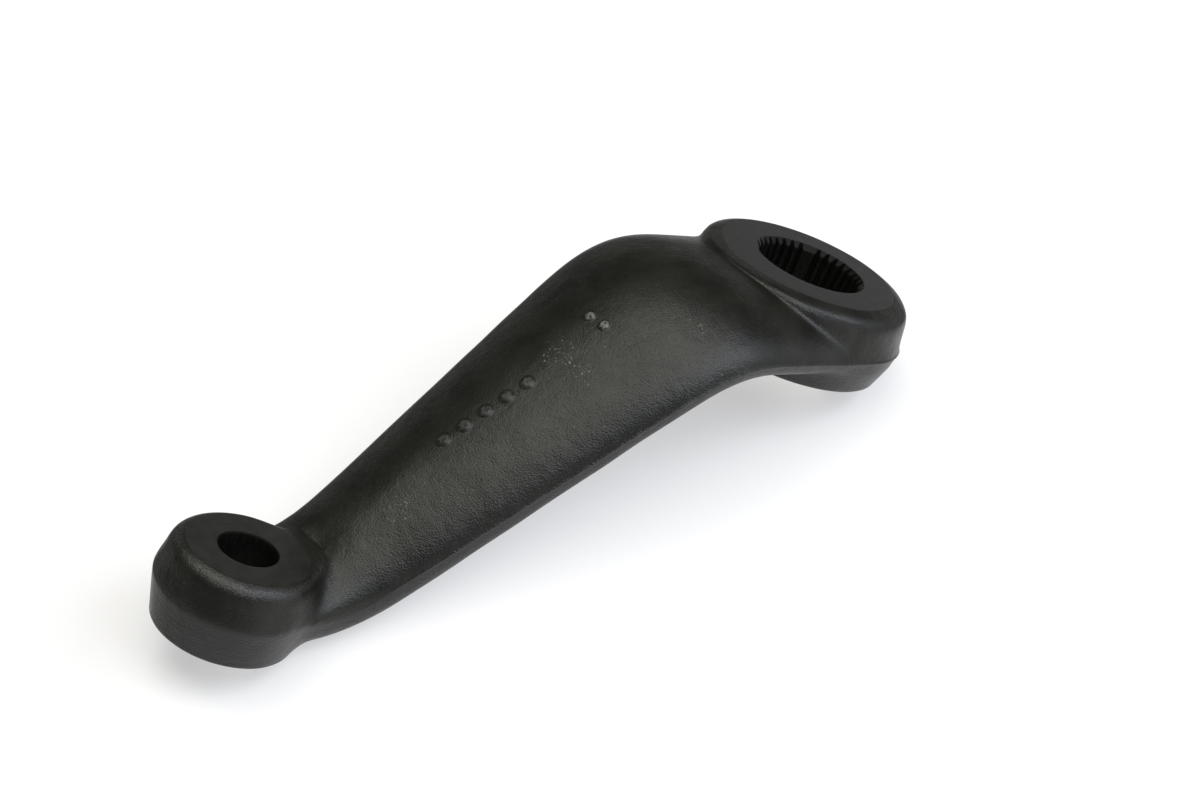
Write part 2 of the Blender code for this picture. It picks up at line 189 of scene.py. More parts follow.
# Cage
SIDE_STEPS = 12
ARM_LOOPS = 14
SUBDIVISIONS = 3
EDGE_BREAK = 0.3
EDGE_FLAT = 1.4
FACE_SHARPNESS = 0.45
BIG_OPEN_R = 21.5
SMALL_OPEN_R = 11.5
SMALL_BASE_OPEN_R = 12.5
BIG_FILL_REACH = 24.0
SMALL_FILL_REACH = 14.0
SHARP_ANGLE = math.radians(32.0)

# Rounded edge of each face: shares of the way out from the face to the wall, and down it
BIG_EDGE = [(0.53, 0.14), (0.94, 0.45)]
SMALL_EDGE = [(0.47, 0.14), (0.86, 0.45)]
EDGE_LIFT = [0.2, 0.6]
EDGE_SHIFT = [1.0, 0.5]

# Toe of each wall: shares of the way out and down to the parting line, and along to the arm
BIG_TOE = (0.33, 0.5, 0.22)
SMALL_TOE = (0.64, 0.5, 0.5)

# Heights above the big eye's top face
BIG_PARTING_Z = -BIG_PARTING
SMALL_TOP = -EYE_DROP
SMALL_PARTING_Z = SMALL_TOP - SMALL_PARTING

# Finishes: order on the mesh, and coating colours, some holding painted light: floor bounce in the lower
# walls' colour, shade on the big eye's face and in the bores, a glint on the pips' tops
FORGED, MACHINED, BORED = range(3)
COAT_DARK = (0.0075, 0.0078, 0.0060)
COAT_LIGHT = (0.0125, 0.0128, 0.0100)
# Lower walls: partly their own lighter tone, partly painted bounce light from the floor
LOWER_WALL_TONE_AND_BOUNCE = (0.014, 0.014, 0.0135)
# Painted shade: the big eye's face takes a darker copy of the coating
BIG_FACE_SHADE_DARK = (0.0035, 0.0036, 0.0029)
BIG_FACE_SHADE_LIGHT = (0.0075, 0.0077, 0.0064)
COAT_WORN = (0.06, 0.06, 0.058)
BARE_STEEL = (0.30, 0.30, 0.28)
# Painted shade: the bores' colours are darker than the coating outside
BORE_SHADE_DARK = (0.002, 0.002, 0.0016)
BORE_SHADE_LIGHT = (0.005, 0.0048, 0.004)

# Unevenness of the finishes, in waves a millimetre, and the limits between which it shows
GRAIN_WAVES = 2.4
DENT_WAVES = 0.3
STREAK_WAVES = (0.12, 0.12, 2.2)
MOTTLE_WAVES = 0.09
MOTTLE_LIMITS = (0.35, 0.65)
RUBBING_WAVES = 1.1
RUBBING_LIMITS = (0.38, 0.58)
RIM_LIMITS = (0.42, 0.66)
TURNING_WAVES = 2.2
BLOTCH_WAVES = 0.25
BLOTCH_LIMITS = (0.35, 0.7)
BORE_LINE_WAVES = (3.0, 3.0, 0.3)
DETAIL = 2.0
FINE_DETAIL = 3.0

# Chips and specks: how fine they are, what share of the skin they take, and how ragged a patch ends
CHIP_WAVES = 1.3
CHIP_LIMITS = (0.56, 0.6)
CHIP_STRENGTH_WAVES = 0.7
CHIP_STRENGTH_LIMITS = (0.38, 0.62)
PATCH_EDGE_WAVES = 0.4
PATCH_EDGE_DEPTH = 9.0
PATCH_OUTSIDE = 4.5
PATCH_INSIDE = 3.0
SPECK_WAVES = 0.35
SPECK_EDGE = (0.12, 0.05)
SPECK_LIMITS = (0.985, 0.99)

# Relief of the grain and of the fine lines in metres, and shares of the rest of the relief in them
GRAIN_HEIGHT = 0.00016
TURNING_HEIGHT = 0.00003
DENT_RELIEF = 1.2
STREAK_RELIEF = 0.8
CHIP_RELIEF = -0.6
FACE_GRAIN_RELIEF = 0.5

# Roughness of each finish, and how much its unevenness adds
FORGED_ROUGHNESS = (0.25, 0.14)
MACHINED_ROUGHNESS = (0.38, 0.16)
BORED_ROUGHNESS = (0.4, 0.2)
WORN_SMOOTHNESS = 0.1

# Gloss of the coating: seen square on, lost with the angle, left at the very edge, added on lower walls
COAT_GLOSS = 0.3
GLOSS_FULL_AT = 0.2
GLOSS_FALL = 3.5
EDGE_LIMITS = (0.72, 0.92)
EDGE_GLOSS = 0.055
LOWER_GLOSS = 0.05
SMALL_FACE_GLOSS = 0.2
BIG_FACE_GLOSS = 0.12
BORE_GLOSS = 0.1

# How much the lower walls' lighter colour, partly their own tone and partly painted floor bounce, and each
# kind of wear, with a painted glint on the pips, show through the coating
LOWER_TONE_AND_BOUNCE = 0.6
RIM_WEAR = 0.5
PIP_RUBBING_AND_GLINT = 0.5
CHIP_DEPTH = 0.38

# Floor, in metres: reach of the paper, its colour, and its own glow from the middle outwards
FLOOR_REACH = 4.0
PAPER = (0.88, 0.88, 0.88, 1.0)
GLOW_NEAR = 0.45
GLOW_FAR = 1.5
GLOW_INSIDE = 0.5
GLOW_OUTSIDE = 0.15

# Lights: name, colour, azimuth, elevation, size in metres, and radiance where 1 is white
LIGHT_DISTANCE = 1.6
LIGHTS = [
    ("overhead_softbox", (1.02, 1.0, 0.93), -90.0, 87.0, (1.12, 2.1), 3.8),
    ("low_panel", (0.94, 0.97, 1.08), -30.0, 12.0, (1.3, 0.5), 2.2),
    ("front_panel", (0.92, 0.97, 1.12), -57.0, 42.0, (1.4, 0.85), 4.8),
]
STUDIO_STRENGTH = 0.12

# Camera, worked out from the photograph's ellipses and outline
LENS = 71.33
SENSOR = 36.0
CAMERA_AT = (-0.2646, -0.3801, 0.4274)
CAMERA_ELEVATION = 40.61
CAMERA_AZIMUTH = -36.58


def clamp(value):
    """A share kept between 0 and 1."""
    return min(1.0, max(0.0, value))


def eased(share):
    """A share from 0 to 1 with a soft start and a soft end."""
    return share * share * (3 - 2 * share)


def blend_line(x, points, halves):
    """Height at x of a broken line whose inner corners are eased over +-half."""
    slopes = [(b[1] - a[1]) / (b[0] - a[0]) for a, b in zip(points, points[1:])]
    for corner, half, before, after in zip(points[1:], halves, slopes, slopes[1:]):
        along = x - corner[0]
        if along <= -half:
            return corner[1] + before * along
        if along < half:
            return corner[1] + before * along + (after - before) * (along + half) ** 2 / (4 * half)
    return points[-1][1] + slopes[-1] * (x - points[-1][0])


def arm_level(x, small_offset, big_offset):
    """Height of the arm at x on a line set off from its parting line."""
    low = SMALL_X + SMALL_BEND_AT
    high = -BIG_BEND_AT
    turn = math.tan(0.5 * math.atan2(BIG_PARTING_Z - SMALL_PARTING_Z, high - low))
    points = [
        (SMALL_X, SMALL_PARTING_Z + small_offset),
        (low - small_offset * turn, SMALL_PARTING_Z + small_offset),
        (high - big_offset * turn, BIG_PARTING_Z + big_offset),
        (0.0, BIG_PARTING_Z + big_offset),
    ]
    halves = [(SMALL_BEND_R - small_offset) * turn, (BIG_BEND_R + big_offset) * turn]
    return blend_line(x, points, halves)


def arm_half_width(x):
    """Half width of the arm's parting line at x."""
    small_side = SMALL_X + SMALL_PARTING_R * math.cos(SMALL_JOIN_ANGLE)
    points = [
        (small_side, SMALL_PARTING_R * math.sin(SMALL_JOIN_ANGLE)),
        (SMALL_X + NECK_AT, NECK_WIDTH / 2),
        (-SHOULDER_AT, SHOULDER_WIDTH / 2),
        (0.0, BIG_PARTING_R),
    ]
    return blend_line(x, points, [OUTLINE_BLEND, 2 * OUTLINE_BLEND])


def lobe(share, power):
    """Height, from 0 to 1, of a rounded half section at a share of its half width."""
    return max(0.0, 1.0 - min(1.0, abs(share)) ** power) ** (1.0 / power)


def crown_height(x, y):
    """Height of the arm's upper surface over a place."""
    parting = arm_level(x, 0.0, 0.0)
    rise = arm_level(x, SMALL_CROWN, BIG_CROWN) - parting
    return parting + rise * lobe(y / arm_half_width(x), CROWN_POWER)


def belly_height(x, y):
    """Height of the arm's lower surface over a place."""
    parting = arm_level(x, 0.0, 0.0)
    fall = parting - arm_level(x, -SMALL_BELLY, -BIG_BELLY)
    return parting - fall * lobe(y / arm_half_width(x), BELLY_POWER)


def section_point(side_x, crown_x, turn, upper):
    """Point of an arm loop: turn is 1 on the +Y parting line, 0 at the crown, -1 at -Y."""
    angle = turn * math.pi / 2
    x = side_x + (crown_x - side_x) * math.cos(angle)
    power = CROWN_POWER if upper else BELLY_POWER
    height = crown_height if upper else belly_height
    y = arm_half_width(x) * math.copysign(abs(math.sin(angle)) ** (2 / power), angle)
    return Vector((x, y, height(x, y)))


def ring_angles(join_angle, facing):
    """Column angles of an eye, the arm's own columns first, from +Y round to -Y."""
    joined = [join_angle * (1 - 2 * i / SIDE_STEPS) for i in range(SIDE_STEPS + 1)]
    rest = 2 * math.pi - 2 * join_angle
    free = [-join_angle - rest * i / SIDE_STEPS for i in range(1, SIDE_STEPS)]
    return [facing(angle) for angle in joined + free]


def hoop_factor(angles, column):
    """Growth that makes up for the inward pull of the subdivision on a round ring."""
    after = angles[(column + 1) % len(angles)] - angles[column]
    before = angles[column] - angles[column - 1]
    mean = (math.cos(after) + math.cos(before)) / 2
    return 3.0 / (2.0 + mean)


def skin(bm, first, second):
    """Quads between two closed loops of as many vertices."""
    for i in range(len(first)):
        j = (i + 1) % len(first)
        bm.faces.new((first[i], first[j], second[j], second[i]))


def crease_run(bm, crease, verts, sharpness=1.0):
    """Keep the edges along a run of vertices sharp in the subdivision."""
    for first, second in zip(verts, verts[1:]):
        bm.edges.get((first, second))[crease] = sharpness


class Eye:
    """The cage of one eye, open at both bores, and the arcs where the arm starts."""

    def __init__(self, bm, size):
        self.bm = bm
        self.size = size
        self.angles = ring_angles(size["join"], size["facing"])

    def is_joined(self, column):
        """Whether a column of the eye runs into the arm."""
        return 0 < column < SIDE_STEPS

    def foot_height(self, x, y, fillet):
        """Height at which the eye's wall ends on the arm, a step below its face."""
        size = self.size
        return min(crown_height(x, y) + fillet, size["top"] - size["step"])

    def upper_ring(self, radius, drop, lift=0.0, shift=0.0):
        """Ring above the parting line, lifted over the arm where the arm joins."""
        size = self.size
        middle = size["x"] + shift * math.cos(size["facing"](0.0))
        verts = []
        for column, angle in enumerate(self.angles):
            height = size["top"] - drop
            if lift and self.is_joined(column):
                x = size["x"] + size["wall_r"] * math.cos(angle)
                y = size["wall_r"] * math.sin(angle)
                fall = size["top"] - self.foot_height(x, y, size["fillet"])
                height = max(height, size["top"] - lift * fall)
            grown = radius * hoop_factor(self.angles, column)
            spot = (middle + grown * math.cos(angle), grown * math.sin(angle), height)
            verts.append(self.bm.verts.new(spot))
        return verts

    def edge_rings(self):
        """Rings of the rounded edge between the face and the wall."""
        size = self.size
        width = size["wall_r"] - size["face_r"]
        rings = []
        for (out, down), lift, shift in zip(size["edge"], EDGE_LIFT, EDGE_SHIFT):
            rings.append(self.upper_ring(size["face_r"] + out * width, down * size["wall_drop"],
                                         lift, shift * size["shift"]))
        return rings

    def toe_ring(self):
        """Ring between the wall and the parting line, or the arm where the arm joins."""
        size = self.size
        out, down, along = size["toe"]
        free_r = size["wall_r"] + out * (size["parting_r"] - size["wall_r"])
        drop = size["wall_drop"] + down * (size["parting"] - size["wall_drop"])
        verts = []
        for column, angle in enumerate(self.angles):
            joined = self.is_joined(column)
            grown = free_r * hoop_factor(self.angles, column)
            if joined:
                grown = size["wall_r"] + along * size["run"]
            x = size["x"] + grown * math.cos(angle)
            y = grown * math.sin(angle)
            height = size["top"] - drop
            if joined:
                height = self.foot_height(x, y, size["toe_fillet"])
            verts.append(self.bm.verts.new((x, y, height)))
        return verts

    def lower_ring(self, radius, drop, share):
        """Ring below the parting line, which runs on the belly where the arm joins."""
        size = self.size
        verts = []
        for column, angle in enumerate(self.angles):
            grown = radius * hoop_factor(self.angles, column)
            spot = Vector((size["x"] + grown * math.cos(angle), grown * math.sin(angle), 0.0))
            spot.z = size["top"] - drop
            if share is not None and self.is_joined(column):
                arc = self.arc_point(column, False)
                spot = spot.lerp(arc, share)
                spot.z = belly_height(spot.x, spot.y)
            verts.append(self.bm.verts.new(spot))
        return verts

    def arc_point(self, column, upper):
        """Point where the arm's surface starts, on the crown or on the belly."""
        size = self.size
        turn = 1 - 2 * column / SIDE_STEPS
        side_x = size["x"] + size["parting_r"] * math.cos(self.angles[0])
        reach = size["wall_r"] + size["run"]
        crown_x = size["x"] + reach * math.cos(size["facing"](0.0))
        return section_point(side_x, crown_x, turn, upper)

    def parting_ring(self, shared=None):
        """Parting line on the free side and, where the arm joins, its starting arc."""
        size = self.size
        verts = []
        for column, angle in enumerate(self.angles):
            if self.is_joined(column):
                verts.append(self.bm.verts.new(self.arc_point(column, shared is None)))
            elif shared is not None:
                verts.append(shared[column])
            else:
                grown = size["parting_r"]
                if column > SIDE_STEPS:
                    grown *= hoop_factor(self.angles, column)
                spot = (size["x"] + grown * math.cos(angle), grown * math.sin(angle),
                        size["top"] - size["parting"])
                verts.append(self.bm.verts.new(spot))
        return verts

    def build(self, crease):
        """Skin the eye from its top face to its base, and return the arm's first loop."""
        size = self.size
        upper = [self.upper_ring(size["open_r"], 0.0)]
        upper.append(self.upper_ring(size["face_r"] - EDGE_FLAT, 0.0, shift=size["shift"]))
        upper.append(self.upper_ring(size["face_r"], 0.0, shift=size["shift"]))
        upper += self.edge_rings()
        upper.append(self.upper_ring(size["wall_r"], size["wall_drop"], lift=1.0))
        parting = self.parting_ring()
        upper += [self.toe_ring(), parting]
        lower = [self.parting_ring(shared=parting)]
        lower += [self.lower_ring(*ring) for ring in size["lower"]]
        for rings in (upper, lower):
            for first, second in zip(rings, rings[1:]):
                skin(self.bm, first, second)
        crease_run(self.bm, crease, upper[2] + upper[2][:1], FACE_SHARPNESS)
        crease_run(self.bm, crease, parting[SIDE_STEPS:] + parting[:1], size["sharpness"])
        for edge in lower[-3:-1]:
            crease_run(self.bm, crease, edge + edge[:1])
        belly = lower[0][1:SIDE_STEPS]
        return parting[: SIDE_STEPS + 1] + belly[::-1]


def big_eye_size():
    """Sizes of the big eye, its lower rings as radius, drop and share of the way to the arm."""
    band = BIG_PARTING + BIG_BAND_HEIGHT
    return {
        "x": 0.0, "top": 0.0, "open_r": BIG_OPEN_R,
        "face_r": BIG_FACE_R, "shift": BIG_FACE_SHIFT, "edge": BIG_EDGE,
        "wall_r": BIG_WALL_R, "wall_drop": BIG_WALL_DROP, "toe": BIG_TOE,
        "parting": BIG_PARTING, "parting_r": BIG_PARTING_R,
        "join": BIG_JOIN_ANGLE, "run": BIG_JOIN_RUN, "facing": lambda angle: math.pi - angle,
        "step": BIG_STEP, "fillet": BIG_FILLET, "toe_fillet": 0.0,
        "sharpness": BIG_PARTING_SHARPNESS,
        "lower": [(BIG_BAND_R, band, BIG_ROOT_BELLY),
                  (BIG_BAND_R * BIG_BAND_DRAFT, band + BIG_BAND_EDGE, 0.0),
                  (BIG_BASE_R, BIG_HEIGHT - EDGE_BREAK, None),
                  (BIG_BASE_R - EDGE_BREAK, BIG_HEIGHT, None),
                  (BIG_OPEN_R, BIG_HEIGHT, None)],
    }


def small_eye_size():
    """Sizes of the small eye, in the same form."""
    lower_wall = SMALL_HEIGHT - SMALL_PARTING
    middle_r = (SMALL_PARTING_R + SMALL_BASE_R) / 2
    return {
        "x": SMALL_X, "top": SMALL_TOP, "open_r": SMALL_OPEN_R,
        "face_r": SMALL_FACE_R, "shift": 0.0, "edge": SMALL_EDGE,
        "wall_r": SMALL_WALL_R, "wall_drop": SMALL_WALL_DROP, "toe": SMALL_TOE,
        "parting": SMALL_PARTING, "parting_r": SMALL_PARTING_R,
        "join": SMALL_JOIN_ANGLE, "run": SMALL_JOIN_RUN, "facing": lambda angle: angle,
        "step": SMALL_STEP, "fillet": SMALL_FILLET, "toe_fillet": SMALL_TOE_FILLET,
        "sharpness": SMALL_PARTING_SHARPNESS,
        "lower": [(middle_r, SMALL_PARTING + lower_wall / 2, SMALL_ROOT_BELLY),
                  (SMALL_BASE_R, SMALL_HEIGHT - EDGE_BREAK, None),
                  (SMALL_BASE_R - EDGE_BREAK, SMALL_HEIGHT, None),
                  (SMALL_BASE_OPEN_R, SMALL_HEIGHT, None)],
    }


def arm_loop(bm, share):
    """Closed loop of the arm at a share of the way from the small eye to the big one."""
    small_side = SMALL_X + SMALL_PARTING_R * math.cos(SMALL_JOIN_ANGLE)
    side_x = small_side * (1 - share)
    small_crown = SMALL_X + SMALL_WALL_R + SMALL_JOIN_RUN
    big_crown = -BIG_WALL_R - BIG_JOIN_RUN
    crown_x = small_crown + share * (big_crown - small_crown)
    verts = []
    for step in range(2 * SIDE_STEPS):
        upper = step <= SIDE_STEPS
        turn = 1 - 2 * step / SIDE_STEPS
        if not upper:
            turn = -1 + 2 * (step - SIDE_STEPS) / SIDE_STEPS
        verts.append(bm.verts.new(section_point(side_x, crown_x, turn, upper)))
    return verts


def forging_cage():
    """Coarse cage of the whole forging, open at its two bores."""
    bm = bmesh.new()
    crease = bm.edges.layers.float.new("crease_edge")
    loops = [Eye(bm, small_eye_size()).build(crease)]
    for index in range(1, ARM_LOOPS + 1):
        loops.append(arm_loop(bm, index / (ARM_LOOPS + 1)))
    loops.append(Eye(bm, big_eye_size()).build(crease))
    for first, second in zip(loops, loops[1:]):
        skin(bm, first, second)
    for side in (0, SIDE_STEPS):
        crease_run(bm, crease, [loop[side] for loop in loops])
    bmesh.ops.recalc_face_normals(bm, faces=bm.faces)
    mesh = bpy.data.meshes.new("forging_cage")
    bm.to_mesh(mesh)
    bm.free()
    return mesh


def subdivided(mesh, levels):
    """A bmesh of the cage after its subdivision."""
    obj = bpy.data.objects.new("forging_cage", mesh)
    bpy.context.scene.collection.objects.link(obj)
    smooth = obj.modifiers.new("forging", "SUBSURF")
    smooth.levels = levels
    smooth.render_levels = levels
    evaluated = obj.evaluated_get(bpy.context.evaluated_depsgraph_get())
    bm = bmesh.new()
    bm.from_mesh(evaluated.to_mesh())
    evaluated.to_mesh_clear()
    bpy.data.objects.remove(obj, do_unlink=True)
    return bm


def groove_radius(angle, root_r):
    """Radius of the serrated bore at an angle, with four wide lands left between grooves."""
    pitch = 2 * math.pi / SERRATION_PITCHES
    along = (angle - LAND_ANGLE) / pitch
    index = round(along)
    tip_r = root_r - SERRATION_DEPTH
    if index % LAND_EVERY == 0:
        return tip_r
    share = (GROOVE_MOUTH - abs(along - index)) / (GROOVE_MOUTH - GROOVE_ROOT)
    return tip_r + SERRATION_DEPTH * eased(clamp(share))


def bore_loop(bm, centre_x, height, radii):
    """Loop round a bore's axis, with a radius for each vertex."""
    count = len(radii)
    verts = []
    for index, radius in enumerate(radii):
        angle = 2 * math.pi * index / count
        spot = (centre_x + radius * math.cos(angle), radius * math.sin(angle), height)
        verts.append(bm.verts.new(spot))
    return verts


def serrated_bore(bm):
    """Wall of the big eye's bore; returns its top and its bottom loop."""
    steps = SERRATION_PITCHES * STEPS_A_PITCH
    chamfer = SERRATION_DEPTH + BORE_LEAD_IN
    heights = [0.0]
    heights += [-chamfer * (i + 1) / LEAD_IN_ROWS for i in range(LEAD_IN_ROWS)]
    rest = BIG_HEIGHT - chamfer
    heights += [-chamfer - rest * (i + 1) / BORE_ROWS for i in range(BORE_ROWS)]
    loops = []
    for height in heights:
        root_r = BORE_R + height * math.tan(BORE_TAPER)
        cone_r = BORE_R + height
        radii = [max(groove_radius(2 * math.pi * i / steps, root_r), cone_r) for i in range(steps)]
        loops.append(bore_loop(bm, 0.0, height, radii))
    for first, second in zip(loops, loops[1:]):
        skin(bm, first, second)
    return loops[0], loops[-1]


def stud_bore(bm):
    """Wall of the small eye's tapered bore; returns its top and its bottom loop."""
    profile = [(STUD_BORE_R + STUD_LEAD_IN * out, STUD_LEAD_IN * down) for out, down in STUD_LEAD_IN_CURVE]
    for index in range(1, STUD_ROWS + 1):
        depth = SMALL_HEIGHT * index / STUD_ROWS
        profile.append((STUD_BORE_R + depth * math.tan(STUD_TAPER), depth))
    loops = []
    for radius, depth in profile:
        loops.append(bore_loop(bm, SMALL_X, SMALL_TOP - depth, [radius] * STUD_STEPS))
    for first, second in zip(loops, loops[1:]):
        skin(bm, first, second)
    return loops[0], loops[-1]


def loop_edges(bm, verts):
    """Edges of a closed loop of vertices."""
    return [bm.edges.get((a, b)) for a, b in zip(verts, verts[1:] + verts[:1])]


def close_face(bm, bore_verts, centre_x, height, reach):
    """Fill the flat ring between a bore's mouth and the open edge of the forging round it."""
    rim = []
    for edge in bm.edges:
        if not edge.is_boundary:
            continue
        middle = (edge.verts[0].co + edge.verts[1].co) / 2
        apart = math.hypot(middle.x - centre_x, middle.y)
        if abs(middle.z - height) < LEVEL_TOLERANCE and apart < reach:
            rim.append(edge)
    mouth = loop_edges(bm, bore_verts)
    bmesh.ops.triangle_fill(bm, edges=list(set(rim + mouth)), use_beauty=True, use_dissolve=False)


def parting_edges(bm):
    """Edges of the forging's parting line."""
    found = []
    for edge in bm.edges:
        off = max(abs(vert.co.z - arm_level(vert.co.x, 0.0, 0.0)) for vert in edge.verts)
        if off < FLASH_REACH and edge.calc_face_angle(0.0) > FLASH_ANGLE:
            found.append(edge)
    return found


def raise_flash(bm):
    """Push the parting line out into a ridge of trimmed flash, ground off at the small eye."""
    bm.normal_update()
    for vert in {vert for edge in parting_edges(bm) for vert in edge.verts}:
        outward = Vector((vert.normal.x, vert.normal.y, 0.0))
        left = (vert.co.x - SMALL_X - FLASH_FROM) / (FLASH_TO - FLASH_FROM)
        vert.co += outward.normalized() * FLASH * clamp(left)


def ease_root(bm, centre_x, side, inner, outer, passes):
    """Soften the hollow between two radii round an eye, on the arm's side of it."""
    soft = []
    for vert in bm.verts:
        apart = math.hypot(vert.co.x - centre_x, vert.co.y)
        above = vert.co.z - arm_level(vert.co.x, 0.0, 0.0)
        along = side * (vert.co.x - centre_x)
        if inner < apart < outer and above > ROOT_ABOVE and along > ROOT_START:
            if not is_machined(vert):
                soft.append(vert)
    for _ in range(passes):
        bmesh.ops.smooth_vert(bm, verts=soft, factor=0.5,
                              use_axis_x=True, use_axis_y=True, use_axis_z=True)


def ease_roots(bm):
    """Soften both hollows, each less and less with the distance from its eye."""
    for outer in SMALL_ROOT_TO:
        ease_root(bm, SMALL_X, 1, SMALL_ROOT_FROM, outer, SMALL_ROOT_PASSES)
    for outer in BIG_ROOT_TO:
        ease_root(bm, 0.0, -1, BIG_ROOT_FROM, outer, BIG_ROOT_PASSES)


def is_machined(vert):
    """Whether a vertex lies on one of the four machined faces."""
    levels = (0.0, -BIG_HEIGHT) if vert.co.x > SMALL_X / 2 else (SMALL_TOP, SMALL_TOP - SMALL_HEIGHT)
    return any(abs(vert.co.z - level) < LEVEL_TOLERANCE for level in levels)


def make_uneven(bm):
    """Slight waves of the forged skin."""
    bm.normal_update()
    for vert in bm.verts:
        if not is_machined(vert):
            vert.co += vert.normal * WAVE_HEIGHT * noise.noise(vert.co / WAVE_LENGTH)


def on_crown(place):
    """Point of the arm's upper surface over a place."""
    return Vector((place[0], place[1], crown_height(place[0], place[1])))


def raise_pip(bm, centre, radius, height):
    """Raise a round pip with steep, soft sides on the arm."""
    reach = PIP_FOOT * radius
    within = reach + PIP_MARGIN
    near = [face for face in bm.faces if (face.calc_center_median() - centre).length < within]
    edges = list({edge for face in near for edge in face.edges})
    bmesh.ops.subdivide_edges(bm, edges=edges, cuts=PIP_CUTS, use_grid_fill=True)
    bm.normal_update()
    for vert in bm.verts:
        apart = (vert.co - centre).length
        if apart < reach:
            share = clamp((reach - apart) / (reach - PIP_TOP * radius))
            vert.co += vert.normal * height * eased(share)


def mark_arm(bm):
    """A row of plain pips and two smaller ones on the arm."""
    for centre, radius, height, _ in pip_places():
        raise_pip(bm, centre, radius, height)


def rim_share(spot):
    """How far a point lies on the worn edge of the small eye's top face, from 0 to 1."""
    depth = SMALL_TOP - spot.z
    apart = math.hypot(spot.x - SMALL_X, spot.y)
    if depth < WORN_START or not WORN_FROM < apart < WORN_TO:
        return 0.0
    return max(0.0, 1.0 - abs(depth - WORN_DEPTH) / WORN_REACH)


def pip_places():
    """Centre, radius, height, and wear with its painted glint, of each pip."""
    first, last = (on_crown(place) for place in PIP_ROW)
    pips = []
    for index in range(PIP_COUNT):
        centre = first.lerp(last, index / (PIP_COUNT - 1))
        pips.append((centre, PIP_R, PIP_HEIGHT, PIP_WEAR_AND_GLINT))
    for place in SMALL_PIPS:
        pips.append((on_crown(place), SMALL_PIP_R, SMALL_PIP_HEIGHT, SMALL_PIP_WEAR_AND_GLINT))
    return pips


def pip_wear_and_glint(spot, pips):
    """How worn a point is through lying on top of a pip, from 0 to 1, which also paints a glint there."""
    worn = 0.0
    for centre, radius, _, wear in pips:
        apart = (spot - centre).length
        share = (PIP_WORN_TO * radius - apart) / (PIP_WEAR_FADE * radius)
        worn = max(worn, wear * clamp(share))
    return worn


def note_places(bm):
    """Keep what the finishes need on each vertex, under the names that they read."""
    pips = pip_places()
    tilt = rest_tilt()
    bm.normal_update()
    lever = bm.verts.layers.float_vector.new("lever")
    pip = bm.verts.layers.float.new("pip")
    upward = bm.verts.layers.float.new("upward")
    rim = bm.verts.layers.float.new("rim")
    lower = bm.verts.layers.float.new("lower_wall")
    for vert in bm.verts:
        vert[lever] = vert.co
        vert[pip] = pip_wear_and_glint(vert.co, pips)
        rise = math.cos(tilt) * vert.normal.z - math.sin(tilt) * vert.normal.x
        vert[upward] = clamp((rise - UPWARD_FROM) / UPWARD_SPAN)
        vert[rim] = rim_share(vert.co)
        below = arm_level(vert.co.x, 0.0, 0.0) - vert.co.z
        vert[lower] = clamp(below / LOWER_SPAN)


def arm_mesh():
    """The finished surface of the arm with upright bores, in millimetres."""
    bm = subdivided(forging_cage(), SUBDIVISIONS)
    ease_roots(bm)
    raise_flash(bm)
    make_uneven(bm)
    mark_arm(bm)
    forged = set(bm.faces)
    big_top, big_base = serrated_bore(bm)
    small_top, small_base = stud_bore(bm)
    for face in bm.faces:
        face.material_index = FORGED if face in forged else BORED
    close_face(bm, big_top, 0.0, 0.0, BIG_FILL_REACH)
    close_face(bm, big_base, 0.0, -BIG_HEIGHT, BIG_FILL_REACH)
    close_face(bm, small_top, SMALL_X, SMALL_TOP, SMALL_FILL_REACH)
    close_face(bm, small_base, SMALL_X, SMALL_TOP - SMALL_HEIGHT, SMALL_FILL_REACH)
    for face in bm.faces:
        if all(is_machined(vert) for vert in face.verts):
            face.material_index = MACHINED
    bmesh.ops.recalc_face_normals(bm, faces=bm.faces)
    note_places(bm)
    return bm


def rest_tilt():
    """Lean of the bores when both eyes stand on the +X side of their lower rims."""
    reach = BIG_BASE_R - (SMALL_X + SMALL_BASE_R)
    rise = (SMALL_TOP - SMALL_HEIGHT) + BIG_HEIGHT
    return math.atan2(-rise, reach)


def lay_down(bm):
    """Turn the lever onto its rims, and put it where the frame has it, in metres."""
    tilt = rest_tilt()
    low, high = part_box("pitman_arm")
    across = (EYE_SPACING + SMALL_BASE_R) * math.cos(tilt)
    across += (EYE_DROP + SMALL_HEIGHT) * math.sin(tilt)
    rise = BIG_BASE_R * math.sin(tilt) + BIG_HEIGHT * math.cos(tilt)
    origin = Vector((low[0] + across * MM, (low[1] + high[1]) / 2, low[2] + rise * MM))
    turned = Matrix.Rotation(tilt, 4, "Y") @ Matrix.Scale(MM, 4)
    bmesh.ops.transform(bm, matrix=Matrix.Translation(origin) @ turned, verts=bm.verts)


def new_material(name):
    """A material, its node tree and its shader."""
    material = bpy.data.materials.new(name)
    material.use_nodes = True
    return material, material.node_tree, material.node_tree.nodes["Principled BSDF"]


def plug(tree, socket, value):
    """Link a socket to a value, or set it where the value is plain."""
    if isinstance(value, bpy.types.NodeSocket):
        tree.links.new(value, socket)
    else:
        socket.default_value = value


def math_node(tree, operation, *values):
    """Result of an operation on sockets or plain values."""
    node = tree.nodes.new("ShaderNodeMath")
    node.operation = operation
    for socket, value in zip(node.inputs, values):
        plug(tree, socket, value)
    return node.outputs[0]


def ramp(tree, value, low, high):
    """Share from 0 to 1 of a value between low and high, eased at both ends."""
    node = tree.nodes.new("ShaderNodeMapRange")
    node.interpolation_type = "SMOOTHSTEP"
    plug(tree, node.inputs["Value"], value)
    node.inputs["From Min"].default_value = low
    node.inputs["From Max"].default_value = high
    return node.outputs["Result"]


